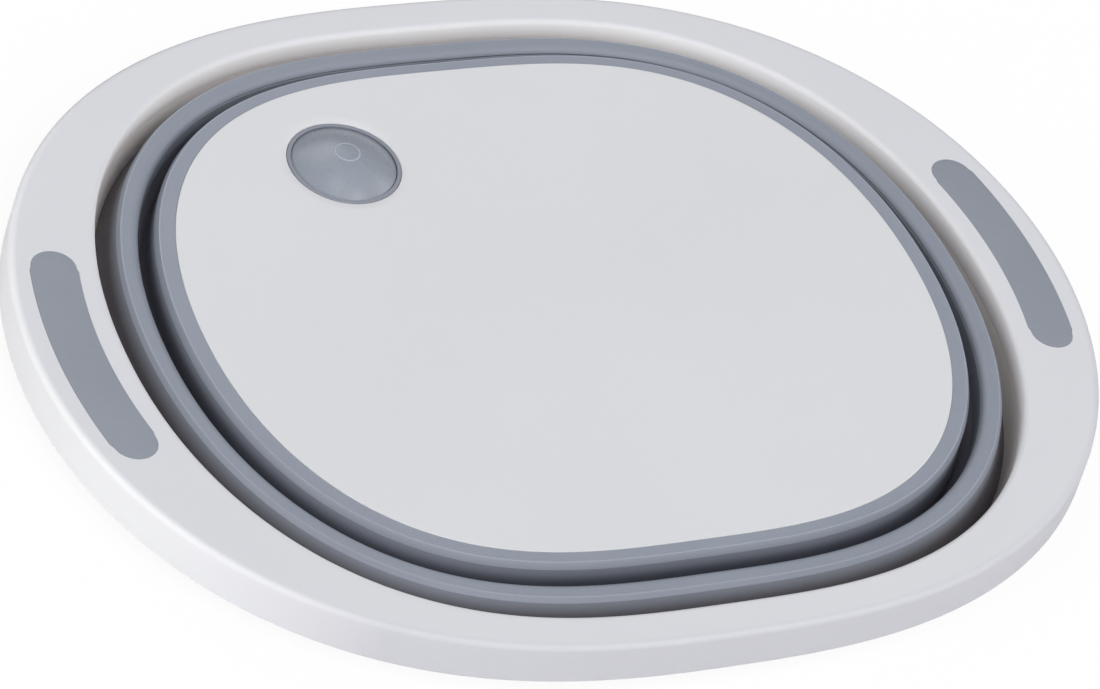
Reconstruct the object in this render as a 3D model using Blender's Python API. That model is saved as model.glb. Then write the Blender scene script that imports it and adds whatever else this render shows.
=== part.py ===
"""Collapsible wash basin, folded flat with its cutting-board floor on top.

The wall is a zigzag of soft rings. From the outside in they are the white
rim frame, the upper web, the middle band, the lower web and the border
round the board. Lifting the rim turns the upper web over, and lifting the
band turns the lower web over, so each fold opens by twice its web's height.

Metres, +Z up. The origin is on the table under the middle of the basin,
+X runs towards the right-hand grip and +Y towards the side with the drain.
"""

import math

import bmesh
import bpy
import numpy as np
from mathutils import Matrix

# Outlines |x/a|^p + |y/b|^q = 1 of the board and of the rim's foot
BOARD_LENGTH = 0.2626
BOARD_WIDTH = 0.2260
BOARD_POWERS = (3.14, 2.09)
RIM_POWERS = (2.61, 2.00)

# The soft rings follow a line that is longer than the board at each end
FOLD_EXTRA = 0.0014

# Distances outwards from the fold line
BORDER_TOP_WIDTH = 0.0044
BORDER_LEAN = 0.0010
BAND_FOOT = 0.0086
BAND_LEDGE = 0.0102
BAND_SHOULDER = 0.0115
BAND_CREST = 0.0141
BAND_TOP_EDGE = 0.0167
BAND_LEAN = 0.0010
RIM_INNER = 0.0249

# The rim's deck outside that, at the ends and at the sides, and so the rim's length and width
DECK_AT_END = 0.0324
DECK_AT_SIDE = 0.0147
RIM_LENGTH = BOARD_LENGTH + 2 * (FOLD_EXTRA + RIM_INNER + DECK_AT_END)
RIM_WIDTH = BOARD_WIDTH + 2 * (RIM_INNER + DECK_AT_SIDE)

# Heights above the table, folded
SKIRT_GAP = 0.0050
RIM_DEPTH = 0.0150
BOARD_RISE = 0.0025
BAND_DROP = 0.0007
BAND_SHOULDER_DROP = 0.0018
BAND_LEDGE_DROP = 0.0071
BAND_LEDGE_STEP = 0.0004
VALLEY_GAP = 0.0026
FOOT_HEIGHT = 0.0037
BASE_WALL_GAP = 0.0030

# Walls of the rim frame
DECK_THICKNESS = 0.0030
SKIRT_THICKNESS = 0.0022
SKIRT_DRAFT = 0.0006
INNER_WALL_THICKNESS = 0.0020
INNER_WALL_DRAFT = 0.0003
RIM_OUTER_ROUND = 0.0020
RIM_INNER_ROUND = 0.0018
RIM_RIB_THICKNESS = 0.0016
RIM_RIB_DEPTH = 0.0080
RIM_RIB_FIRST_DEG = 20.0
RIM_RIB_STEPS = 5

# Grips let into the ends of the deck
GRIP_LENGTH = 0.096
GRIP_WIDTH = 0.0171
GRIP_FROM_END = 0.01665
GRIP_BEND_RADIUS = 0.182
GRIP_POCKET_DEPTH = 0.0018
GRIP_EDGE_ROUND = 0.0004
STUD_RADIUS = 0.0020
STUD_SPACING = 0.030

# Soft rings
BEAD_THICKNESS = 0.0009
BEAD_HEIGHT = 0.0036
WEB_THICKNESS = 0.0017
WEB_STEPS = 5
BAND_WALL = 0.0019
BAND_TOP_THICKNESS = 0.0018
BAND_OUTER_ROUND = 0.0005
BORDER_THICKNESS = 0.0024
BORDER_ROUND = 0.0005

# Board and what it stands on
BOARD_THICKNESS = 0.0037
BOARD_EDGE_ROUND = 0.0005
BOARD_FLANGE_THICKNESS = 0.0018
BASE_WALL = 0.0022
BASE_WALL_DRAFT = 0.0010
BOARD_RIB_THICKNESS = 0.0018
BOARD_RIB_DEPTH = 0.0060
BOARD_RIB_PITCH = 0.036
BOARD_RIB_PAIRS = 2

# Feet and their bosses
FOOT_RADIUS = 0.0090
FOOT_FROM_END = 0.0353
FOOT_FROM_SIDE = 0.0510
FOOT_EDGE_ROUND = 0.0010
FOOT_PEG_RADIUS = 0.0030
FOOT_PEG_LENGTH = 0.0065
BOSS_WALL = 0.0045

# Drain hole and its plug
DRAIN_FROM_END = 0.0777
DRAIN_FROM_SIDE = 0.0404
DRAIN_RADIUS = 0.0199
DRAIN_LIP_ROUND = 0.0025
DRAIN_DEPTH = 0.0043
DRAIN_WALL = 0.0031
THROAT_RADIUS = 0.0150
THROAT_LENGTH = 0.0100
THROAT_WALL = 0.0025
SEAL_THICKNESS = 0.0014
SEAL_SHOW = 0.0019
CAP_EDGE = 0.0011
CAP_RISE = 0.0052
CORE_LENGTH = 0.0045
PIN_RADIUS = 0.0029
PIN_SOCKET_DEPTH = 0.0036

# Gaps between touching pieces, and how far ribs and bosses run into their walls
SEAT = 0.0003
PLUG_PLAY = 0.0010
RIB_BITE = 0.0011

# Facets
RING_SEGMENTS = 60
OVAL_HALVINGS = 40
ROUND_SEGMENTS = 32
SMALL_SEGMENTS = 20
ROUND_STEPS = 3

# Distances out from the fold line, worked out
BORDER_OUTER = BORDER_TOP_WIDTH + BORDER_LEAN
BAND_OUTER = BAND_TOP_EDGE + BAND_LEAN
WALL_INNER = RIM_INNER + INNER_WALL_DRAFT

# Heights, worked out
RIM_TOP = SKIRT_GAP + RIM_DEPTH
BOARD_TOP = RIM_TOP + BOARD_RISE
BAND_TOP = RIM_TOP - BAND_DROP
BORDER_TOP = BOARD_TOP - SEAT
BORDER_FOOT = BORDER_TOP - BORDER_THICKNESS
FLANGE_TOP = BORDER_FOOT - SEAT
BOARD_UNDERSIDE = BOARD_TOP - BOARD_THICKNESS
DECK_UNDERSIDE = RIM_TOP - DECK_THICKNESS
WALL_FOOT = VALLEY_GAP + BEAD_THICKNESS + SEAT
UPPER_WEB_TOP = BAND_TOP - BAND_TOP_THICKNESS - SEAT
LOWER_WEB_TOP = BORDER_FOOT - SEAT

# Places, worked out
DRAIN_X = DRAIN_FROM_END - BOARD_LENGTH / 2
DRAIN_Y = BOARD_WIDTH / 2 - DRAIN_FROM_SIDE
FOOT_X = BOARD_LENGTH / 2 - FOOT_FROM_END
FOOT_Y = BOARD_WIDTH / 2 - FOOT_FROM_SIDE
GRIP_X = RIM_LENGTH / 2 - GRIP_FROM_END

WHITE_PLASTIC = (0.66, 0.67, 0.69, 1.0)
GREY_RUBBER = (0.27, 0.30, 0.34, 1.0)
DARK_RUBBER = (0.20, 0.22, 0.25, 1.0)


def clear_scene():
    for old in list(bpy.data.objects):
        bpy.data.objects.remove(old, do_unlink=True)


def make_material(name, colour, roughness):
    made = bpy.data.materials.new(name)
    made.use_nodes = True
    shader = made.node_tree.nodes["Principled BSDF"]
    shader.inputs["Base Color"].default_value = colour
    shader.inputs["Roughness"].default_value = roughness
    shader.inputs["Metallic"].default_value = 0.0
    return made


def ring_angles():
    return np.arange(RING_SEGMENTS) * (2 * math.pi / RING_SEGMENTS)


def oval(half_length, half_width, powers, offset):
    """Points of |x/a|^p + |y/b|^q = 1 at even angles, moved along the normal.

    The two powers differ, so the reach at each angle is found by halving.
    """
    power_x, power_y = powers
    angle = ring_angles()
    cosine = np.cos(angle)
    sine = np.sin(angle)
    low = np.zeros(RING_SEGMENTS)
    high = np.full(RING_SEGMENTS, half_length + half_width)
    for _ in range(OVAL_HALVINGS):
        reach = (low + high) / 2
        level = np.abs(reach * cosine / half_length) ** power_x
        level = level + np.abs(reach * sine / half_width) ** power_y
        low = np.where(level < 1, reach, low)
        high = np.where(level < 1, high, reach)
    x = reach * cosine
    y = reach * sine
    normal_x = power_x * np.sign(x) * np.abs(x / half_length) ** (power_x - 1) / half_length
    normal_y = power_y * np.sign(y) * np.abs(y / half_width) ** (power_y - 1) / half_width
    length = np.hypot(normal_x, normal_y)
    return np.stack([x + offset * normal_x / length, y + offset * normal_y / length], 1)


def board_line(offset):
    return oval(BOARD_LENGTH / 2, BOARD_WIDTH / 2, BOARD_POWERS, offset)


def fold_line(offset):
    return oval(BOARD_LENGTH / 2 + FOLD_EXTRA, BOARD_WIDTH / 2, BOARD_POWERS, offset)


def rim_line(offset):
    return oval(RIM_LENGTH / 2, RIM_WIDTH / 2, RIM_POWERS, offset)


def circle_line(radius, segments):
    angle = np.arange(segments) * (2 * math.pi / segments)
    return np.stack([radius * np.cos(angle), radius * np.sin(angle)], 1)


def rounded(start, corner, end, steps=ROUND_STEPS):
    """Points of the curve that leaves start towards corner and arrives at end."""
    share = np.linspace(0, 1, steps + 1)[:, None]
    start, corner, end = (np.array(p) for p in (start, corner, end))
    curve = (1 - share) ** 2 * start + 2 * share * (1 - share) * corner + share**2 * end
    return [tuple(p) for p in curve]


def mesh_from_loops(name, loops, closed_section):
    """Join loops of equal length by quads. An open section gets two flat caps."""
    count = len(loops[0])
    verts = np.concatenate(loops)
    faces = []
    last = len(loops) if closed_section else len(loops) - 1
    for level in range(last):
        here = level * count
        there = ((level + 1) % len(loops)) * count
        for step in range(count):
            after = (step + 1) % count
            faces.append((here + step, here + after, there + after, there + step))
    if not closed_section:
        faces.append(tuple(range(count)))
        faces.append(tuple(range((len(loops) - 1) * count, len(loops) * count)))
    mesh = bpy.data.meshes.new(name)
    mesh.from_pydata(verts.tolist(), [], faces)
    return mesh


def tidy_mesh(mesh):
    work = bmesh.new()
    work.from_mesh(mesh)
    bmesh.ops.recalc_face_normals(work, faces=work.faces)
    work.to_mesh(mesh)
    work.free()
    mesh.shade_smooth()
    mesh.set_sharp_from_angle(angle=math.radians(35))


def add_object(name, mesh, finish=None, parent=None, place=(0, 0, 0)):
    tidy_mesh(mesh)
    made = bpy.data.objects.new(name, mesh)
    bpy.context.collection.objects.link(made)
    made.location = place
    made.parent = parent
    if finish is not None:
        mesh.materials.append(finish)
    return made


def add_pivot(name, place):
    pivot = bpy.data.objects.new(name, None)
    bpy.context.collection.objects.link(pivot)
    pivot.location = place
    return pivot


def raise_line(line, height):
    return np.column_stack([line, np.full(len(line), height)])


def swept_ring(name, section):
    """Carry a closed section of (distance from the fold line, height) round."""
    loops = [raise_line(fold_line(out), up) for out, up in section]
    return mesh_from_loops(name, loops, closed_section=True)


def turned(name, profile, segments):
    """Turn a profile of (radius, height) that starts and ends on flat caps."""
    loops = [raise_line(circle_line(radius, segments), up) for radius, up in profile]
    return mesh_from_loops(name, loops, closed_section=False)


def turned_ring(name, profile, segments):
    loops = [raise_line(circle_line(radius, segments), up) for radius, up in profile]
    return mesh_from_loops(name, loops, closed_section=True)


def cut_or_join(target, tool, operation):
    tool.hide_render = True
    tool.display_type = "WIRE"
    step = target.modifiers.new(tool.name, "BOOLEAN")
    step.operation = operation
    step.solver = "EXACT"
    step.object = tool


def box_corners(low, high):
    spans = list(zip(low, high))
    return [(x, y, z) for z in spans[2] for y in spans[1] for x in spans[0]]


BOX_FACES = [(0, 2, 3, 1), (4, 5, 7, 6), (0, 1, 5, 4), (2, 6, 7, 3), (0, 4, 6, 2), (1, 3, 7, 5)]


def boxes_mesh(name, boxes):
    """One mesh of several boxes, each given as its eight corners."""
    verts = []
    faces = []
    for corners in boxes:
        base = len(verts)
        verts.extend(corners)
        faces.extend(tuple(base + i for i in face) for face in BOX_FACES)
    mesh = bpy.data.meshes.new(name)
    mesh.from_pydata(verts, [], faces)
    return mesh


def rim_shell_mesh():
    """White channel: outer skirt, flat deck and inner wall, open below."""
    skirt_top = RIM_TOP - RIM_OUTER_ROUND
    wall_top = RIM_TOP - RIM_INNER_ROUND
    outer_corner = rounded((-SKIRT_DRAFT, skirt_top), (-SKIRT_DRAFT, RIM_TOP),
                           (-SKIRT_DRAFT - RIM_OUTER_ROUND, RIM_TOP))
    inner_corner = rounded((RIM_INNER + RIM_INNER_ROUND, RIM_TOP), (RIM_INNER, RIM_TOP),
                           (RIM_INNER, wall_top))
    wall_outer = WALL_INNER + INNER_WALL_THICKNESS
    loops = [raise_line(rim_line(0), SKIRT_GAP)]
    loops += [raise_line(rim_line(out), up) for out, up in outer_corner]
    loops += [raise_line(fold_line(out), up) for out, up in inner_corner]
    loops.append(raise_line(fold_line(WALL_INNER), WALL_FOOT))
    loops.append(raise_line(fold_line(wall_outer), WALL_FOOT))
    loops.append(raise_line(fold_line(wall_outer), DECK_UNDERSIDE))
    loops.append(raise_line(rim_line(-SKIRT_DRAFT - SKIRT_THICKNESS), DECK_UNDERSIDE))
    loops.append(raise_line(rim_line(-SKIRT_THICKNESS), SKIRT_GAP))
    return mesh_from_loops("rim_frame", loops, closed_section=True)


def line_at(line, angle):
    """Point where a closed line crosses the ray at this angle from the middle."""
    bearing = np.unwrap(np.arctan2(line[:, 1], line[:, 0]))
    reach = np.hypot(line[:, 0], line[:, 1])
    wanted = (angle - bearing[0]) % (2 * math.pi) + bearing[0]
    radius = np.interp(wanted, np.append(bearing, bearing[0] + 2 * math.pi), np.append(reach, reach[0]))
    return np.array([radius * math.cos(angle), radius * math.sin(angle)])


def rim_rib_angles():
    upper = np.linspace(RIM_RIB_FIRST_DEG, 180 - RIM_RIB_FIRST_DEG, 2 * RIM_RIB_STEPS + 1)
    return np.radians(np.concatenate([upper, -upper]))


def rim_ribs_mesh():
    """Cross ribs under the deck, left out where the fingers go."""
    wall = fold_line(WALL_INNER + INNER_WALL_THICKNESS - RIB_BITE)
    skirt = rim_line(-SKIRT_DRAFT - SKIRT_THICKNESS + RIB_BITE)
    low = DECK_UNDERSIDE - RIM_RIB_DEPTH
    high = DECK_UNDERSIDE + RIB_BITE
    boxes = []
    for angle in rim_rib_angles():
        inner = line_at(wall, angle)
        outer = line_at(skirt, angle)
        side = np.array([-math.sin(angle), math.cos(angle)]) * RIM_RIB_THICKNESS / 2
        plan = [inner - side, outer - side, inner + side, outer + side]
        boxes.append([(p[0], p[1], up) for up in (low, high) for p in plan])
    return boxes_mesh("rim_ribs", boxes)


def grip_line(offset):
    """Kidney outline: a bent bar with round ends, on the +X end of the deck."""
    half_width = GRIP_WIDTH / 2 + offset
    half_angle = (GRIP_LENGTH / 2 - GRIP_WIDTH / 2) / GRIP_BEND_RADIUS
    centre_x = GRIP_X - GRIP_BEND_RADIUS
    sweep = np.linspace(-half_angle, half_angle, 9)
    cap = np.linspace(0, math.pi, 9)[1:-1]
    end_x = centre_x + GRIP_BEND_RADIUS * math.cos(half_angle)
    end_y = GRIP_BEND_RADIUS * math.sin(half_angle)
    outer = GRIP_BEND_RADIUS + half_width
    inner = GRIP_BEND_RADIUS - half_width
    upper_cap = np.stack([end_x + half_width * np.cos(half_angle + cap),
                          end_y + half_width * np.sin(half_angle + cap)], 1)
    outer_side = np.stack([centre_x + outer * np.cos(sweep), outer * np.sin(sweep)], 1)
    inner_side = np.stack([centre_x + inner * np.cos(sweep), inner * np.sin(sweep)], 1)[::-1]
    lower_cap = upper_cap[::-1] * np.array([1, -1])
    return np.concatenate([outer_side, upper_cap, inner_side, lower_cap])


def mirror_in_x(mesh):
    for vert in mesh.vertices:
        vert.co.x = -vert.co.x
    return mesh


def grip_pocket_mesh():
    floor = RIM_TOP - GRIP_POCKET_DEPTH
    above = RIM_TOP + DECK_THICKNESS
    loops = [raise_line(grip_line(0), up) for up in (above, floor)]
    return mesh_from_loops("grip_pocket", loops, closed_section=False)


def grip_pad_mesh():
    edge = -SEAT
    loops = [raise_line(grip_line(edge - GRIP_EDGE_ROUND), RIM_TOP),
             raise_line(grip_line(edge), RIM_TOP - GRIP_EDGE_ROUND),
             raise_line(grip_line(edge), RIM_TOP - GRIP_POCKET_DEPTH + SEAT)]
    return mesh_from_loops("grip", loops, closed_section=False)


def stud_places():
    """Three studs along the grip's bend."""
    places = []
    for step in (-1, 0, 1):
        angle = step * STUD_SPACING / GRIP_BEND_RADIUS
        x = GRIP_X - GRIP_BEND_RADIUS + GRIP_BEND_RADIUS * math.cos(angle)
        places.append((x, GRIP_BEND_RADIUS * math.sin(angle)))
    return places


def columns_mesh(name, places, radius, low, high):
    """Upright round columns, one at each place."""
    work = bmesh.new()
    for x, y in places:
        column = turned(name, [(radius, high), (radius, low)], SMALL_SEGMENTS)
        column.transform(Matrix.Translation((x, y, 0)))
        work.from_mesh(column)
        bpy.data.meshes.remove(column)
    mesh = bpy.data.meshes.new(name)
    work.to_mesh(mesh)
    work.free()
    return mesh


def make_rim_frame(finish, pivot):
    frame = add_object("rim_frame", rim_shell_mesh(), finish, pivot)
    cut_or_join(frame, add_object("rim_ribs", rim_ribs_mesh()), "UNION")
    hole = STUD_RADIUS + SEAT
    for side, turn in (("left", mirror_in_x), ("right", lambda mesh: mesh)):
        pocket = turn(grip_pocket_mesh())
        cut_or_join(frame, add_object("pocket_" + side, pocket), "DIFFERENCE")
        low = DECK_UNDERSIDE - DECK_THICKNESS
        holes = turn(columns_mesh("stud_holes", stud_places(), hole, low, RIM_TOP))
        cut_or_join(frame, add_object("stud_holes_" + side, holes), "DIFFERENCE")


def make_grips(finish, pivot):
    """Each pad has three studs that pass through the floor of its pocket."""
    high = RIM_TOP - GRIP_POCKET_DEPTH / 2
    for side, turn in (("left", mirror_in_x), ("right", lambda mesh: mesh)):
        pad = add_object("grip_" + side, turn(grip_pad_mesh()), finish, pivot)
        studs = turn(columns_mesh("studs", stud_places(), STUD_RADIUS, DECK_UNDERSIDE, high))
        cut_or_join(pad, add_object("studs_" + side, studs), "UNION")


def make_rim_bead(finish, pivot):
    """Soft channel pressed over the foot of the rim's inner wall."""
    slot_inner = WALL_INNER - SEAT
    slot_outer = WALL_INNER + INNER_WALL_THICKNESS + SEAT
    slot_floor = WALL_FOOT - SEAT
    top = VALLEY_GAP + BEAD_HEIGHT
    section = [
        (slot_inner - BEAD_THICKNESS, VALLEY_GAP),
        (slot_outer + BEAD_THICKNESS, VALLEY_GAP),
        (slot_outer + BEAD_THICKNESS, top),
        (slot_outer, top),
        (slot_outer, slot_floor),
        (slot_inner, slot_floor),
        (slot_inner, top),
        (slot_inner - BEAD_THICKNESS, top),
    ]
    add_object("rim_bead", swept_ring("rim_bead", section), finish, pivot)


def web_section(foot, head, high):
    """Soft sheet that leans inwards as it climbs, upright at both ends."""
    share = np.linspace(0, 1, WEB_STEPS + 1)
    ease = share * share * (3 - 2 * share)
    out = foot + (head - foot) * ease
    up = VALLEY_GAP + (high - VALLEY_GAP) * share
    outer_side = list(zip(out, up))
    inner_side = list(zip(out - WEB_THICKNESS, up))
    return outer_side + inner_side[::-1]


def make_webs(finish, rim_pivot, band_pivot):
    upper_foot = WALL_INNER - SEAT - BEAD_THICKNESS - SEAT
    upper = web_section(upper_foot, BAND_OUTER - SEAT, UPPER_WEB_TOP)
    add_object("upper_web", swept_ring("upper_web", upper), finish, rim_pivot)
    lower = web_section(BAND_FOOT - SEAT, BORDER_OUTER - SEAT, LOWER_WEB_TOP)
    add_object("lower_web", swept_ring("lower_web", lower), finish, band_pivot)


def leaning_edge(out, up, radius, lean, depth):
    """Small rounding at the top, then a face that leans outwards as it goes down."""
    slope = lean / depth
    corner = rounded((out - radius, up), (out, up), (out + slope * radius, up - radius))
    return corner + [(out + lean, up - depth)]


def make_middle_band(finish, pivot):
    """Soft band with a ledge inside, whose rounded top is the fold's middle ridge."""
    ledge = BAND_TOP - BAND_LEDGE_DROP
    shoulder = BAND_TOP - BAND_SHOULDER_DROP
    low = BAND_TOP - BAND_TOP_THICKNESS
    section = [
        (BAND_FOOT, VALLEY_GAP),
        (BAND_LEDGE + BAND_LEDGE_STEP, ledge - BAND_LEDGE_STEP),
        (BAND_LEDGE, ledge),
    ]
    section += rounded((BAND_SHOULDER, shoulder), (BAND_SHOULDER, BAND_TOP), (BAND_CREST, BAND_TOP))
    section += leaning_edge(BAND_TOP_EDGE, BAND_TOP, BAND_OUTER_ROUND, BAND_LEAN, BAND_TOP_THICKNESS)
    section.append((BAND_SHOULDER + BAND_WALL, low))
    section.append((BAND_FOOT + BAND_WALL, VALLEY_GAP))
    add_object("middle_band", swept_ring("middle_band", section), finish, pivot)


def make_board_border(finish):
    """Soft border that rests on the board's flange, level with the board."""
    edge = leaning_edge(BORDER_TOP_WIDTH, BORDER_TOP, BORDER_ROUND, BORDER_LEAN, BORDER_THICKNESS)
    loops = [raise_line(board_line(SEAT), up) for up in (BORDER_FOOT, BORDER_TOP)]
    loops += [raise_line(fold_line(out), up) for out, up in edge]
    mesh = mesh_from_loops("board_border", loops, closed_section=True)
    add_object("board_border", mesh, finish)


def board_shell_mesh():
    """Plate with a flange for the border and a wall that stands below it."""
    flange_out = BORDER_OUTER - SEAT - WEB_THICKNESS - SEAT
    flange_low = FLANGE_TOP - BOARD_FLANGE_THICKNESS
    plate = [(-BOARD_EDGE_ROUND, BOARD_TOP), (0, BOARD_TOP - BOARD_EDGE_ROUND), (0, FLANGE_TOP)]
    wall = [
        (0, flange_low),
        (-BASE_WALL_DRAFT, BASE_WALL_GAP),
        (-BASE_WALL_DRAFT - BASE_WALL, BASE_WALL_GAP),
        (-BASE_WALL, BOARD_UNDERSIDE),
    ]
    loops = [raise_line(board_line(out), up) for out, up in plate]
    loops += [raise_line(fold_line(flange_out), up) for up in (FLANGE_TOP, flange_low)]
    loops += [raise_line(board_line(out), up) for out, up in wall]
    return mesh_from_loops("cutting_board", loops, closed_section=False)


def board_ribs_mesh(along_x):
    """Parallel ribs under the plate that end inside the base wall."""
    inset = BASE_WALL - RIB_BITE
    reach = (BOARD_LENGTH if along_x else BOARD_WIDTH) / 2 - inset
    across = (BOARD_WIDTH if along_x else BOARD_LENGTH) / 2 - inset
    along_power, across_power = BOARD_POWERS if along_x else BOARD_POWERS[::-1]
    half = BOARD_RIB_THICKNESS / 2
    low = BOARD_UNDERSIDE - BOARD_RIB_DEPTH
    high = BOARD_UNDERSIDE + RIB_BITE
    boxes = []
    for step in range(-BOARD_RIB_PAIRS, BOARD_RIB_PAIRS + 1):
        middle = step * BOARD_RIB_PITCH
        end = reach * (1 - abs(middle / across) ** across_power) ** (1 / along_power)
        if along_x:
            boxes.append(box_corners((-end, middle - half, low), (end, middle + half, high)))
        else:
            boxes.append(box_corners((middle - half, -end, low), (middle + half, end, high)))
    return boxes_mesh("board_ribs", boxes)


def foot_places():
    return [(x, y) for x in (-FOOT_X, FOOT_X) for y in (-FOOT_Y, FOOT_Y)]


def drain_boss_mesh():
    """Thick ring below the plate that narrows to the throat's short pipe."""
    ledge = BOARD_TOP - DRAIN_DEPTH
    bowl = DRAIN_RADIUS + DRAIN_WALL
    pipe = THROAT_RADIUS + THROAT_WALL
    bowl_low = ledge - THROAT_WALL
    profile = [
        (bowl, BOARD_UNDERSIDE + RIB_BITE),
        (bowl, bowl_low),
        (pipe, bowl_low),
        (pipe, ledge - THROAT_LENGTH),
    ]
    return turned("drain_boss", profile, ROUND_SEGMENTS)


def drain_bore_mesh():
    """Cutter for the drain: rounded lip, straight bowl, ledge and throat."""
    ledge = BOARD_TOP - DRAIN_DEPTH
    mouth = DRAIN_RADIUS + DRAIN_LIP_ROUND
    profile = [(mouth, BOARD_TOP + BOARD_THICKNESS)]
    profile += rounded((mouth, BOARD_TOP), (DRAIN_RADIUS, BOARD_TOP),
                       (DRAIN_RADIUS, BOARD_TOP - DRAIN_LIP_ROUND))
    profile.append((DRAIN_RADIUS, ledge))
    profile.append((THROAT_RADIUS, ledge))
    profile.append((THROAT_RADIUS, ledge - THROAT_LENGTH - THROAT_WALL))
    return turned("drain_bore", profile, ROUND_SEGMENTS)


def make_cutting_board(finish):
    board = add_object("cutting_board", board_shell_mesh(), finish)
    for name, along_x in (("ribs_lengthwise", True), ("ribs_crosswise", False)):
        cut_or_join(board, add_object(name, board_ribs_mesh(along_x)), "UNION")
    boss_radius = FOOT_PEG_RADIUS + SEAT + BOSS_WALL
    boss_low = FOOT_HEIGHT + SEAT
    high = BOARD_UNDERSIDE + RIB_BITE
    bosses = columns_mesh("foot_bosses", foot_places(), boss_radius, boss_low, high)
    cut_or_join(board, add_object("foot_bosses", bosses), "UNION")
    drain_place = (DRAIN_X, DRAIN_Y, 0)
    boss = add_object("drain_boss", drain_boss_mesh(), place=drain_place)
    cut_or_join(board, boss, "UNION")
    bore = add_object("drain_bore", drain_bore_mesh(), place=drain_place)
    cut_or_join(board, bore, "DIFFERENCE")
    socket_radius = FOOT_PEG_RADIUS + SEAT
    socket_top = boss_low + FOOT_PEG_LENGTH + SEAT
    sockets = columns_mesh("foot_sockets", foot_places(), socket_radius, 0, socket_top)
    cut_or_join(board, add_object("foot_sockets", sockets), "DIFFERENCE")


def make_feet(finish):
    """Soft pads on pegs pushed into the bosses under the board."""
    tip = FOOT_HEIGHT + FOOT_PEG_LENGTH
    profile = [
        (FOOT_PEG_RADIUS - FOOT_EDGE_ROUND / 2, tip),
        (FOOT_PEG_RADIUS, tip - FOOT_EDGE_ROUND / 2),
        (FOOT_PEG_RADIUS, FOOT_HEIGHT),
        (FOOT_RADIUS, FOOT_HEIGHT),
        (FOOT_RADIUS, FOOT_EDGE_ROUND),
        (FOOT_RADIUS - FOOT_EDGE_ROUND, 0),
    ]
    names = ("foot_front_left", "foot_back_left", "foot_front_right", "foot_back_right")
    for name, (x, y) in zip(names, foot_places()):
        add_object(name, turned(name, profile, SMALL_SEGMENTS), finish, place=(x, y, 0))


def make_plug(cap_finish, core_finish, pivot):
    """Domed cap and flat seal held together by the pin of the core below."""
    seal_low = BOARD_TOP - DRAIN_DEPTH + SEAT
    seal_top = seal_low + SEAL_THICKNESS
    seal_radius = DRAIN_RADIUS - SEAT
    pin_hole = PIN_RADIUS + SEAT
    seal = [(seal_radius, seal_low), (seal_radius, seal_top), (pin_hole, seal_top), (pin_hole, seal_low)]
    mesh = turned_ring("plug_seal", seal, ROUND_SEGMENTS)
    add_object("plug_seal", mesh, cap_finish, pivot)

    cap_low = seal_top + SEAT
    cap_edge = cap_low + CAP_EDGE
    cap_radius = seal_radius - SEAL_SHOW
    rise = BOARD_TOP + CAP_RISE - cap_edge
    dome = [(cap_radius * math.sin(a), cap_edge + rise * math.cos(a))
            for a in np.radians(np.linspace(6, 90, 7))]
    socket_top = cap_low + PIN_SOCKET_DEPTH
    cap = dome + [(cap_radius, cap_low), (pin_hole, cap_low), (pin_hole, socket_top)]
    add_object("plug_cap", turned("plug_cap", cap, ROUND_SEGMENTS), cap_finish, pivot)

    collar = THROAT_RADIUS - PLUG_PLAY / 2
    collar_top = seal_low - SEAT
    collar_low = collar_top - CORE_LENGTH
    core = [
        (PIN_RADIUS, socket_top - SEAT),
        (PIN_RADIUS, collar_top),
        (collar, collar_top),
        (collar, collar_low + PLUG_PLAY),
        (collar - PLUG_PLAY, collar_low),
    ]
    add_object("plug_core", turned("plug_core", core, ROUND_SEGMENTS), core_finish, pivot)


def build():
    clear_scene()
    white = make_material("white_plastic", WHITE_PLASTIC, 0.45)
    grey = make_material("grey_rubber", GREY_RUBBER, 0.55)
    dark = make_material("dark_rubber", DARK_RUBBER, 0.7)
    rim_pivot = add_pivot("rim_slide", (0, 0, 0))
    band_pivot = add_pivot("band_slide", (0, 0, 0))
    plug_pivot = add_pivot("plug_slide", (DRAIN_X, DRAIN_Y, 0))
    make_rim_frame(white, rim_pivot)
    make_grips(grey, rim_pivot)
    make_rim_bead(grey, rim_pivot)
    make_webs(grey, rim_pivot, band_pivot)
    make_middle_band(grey, band_pivot)
    make_board_border(grey)
    make_cutting_board(white)
    make_feet(dark)
    make_plug(grey, white, plug_pivot)


build()
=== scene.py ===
# %% [markdown]
# # A wash basin that folds flat
# The real object is a shallow basin for washing up. A hard white rim and a hard white floor are
# joined by a soft grey wall, which folds into rings when the rim is pressed down. In that state
# the floor lies on top and serves as a cutting board, and a rubber plug fills the drain.
# This lesson dresses the engineering model in fine meshes, finishes and light.
#
# The engineering model is loaded first and stays as it is.

# %% Load the imported part
import math

import bmesh
import bpy
import numpy as np
from mathutils import Matrix, Vector


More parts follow.
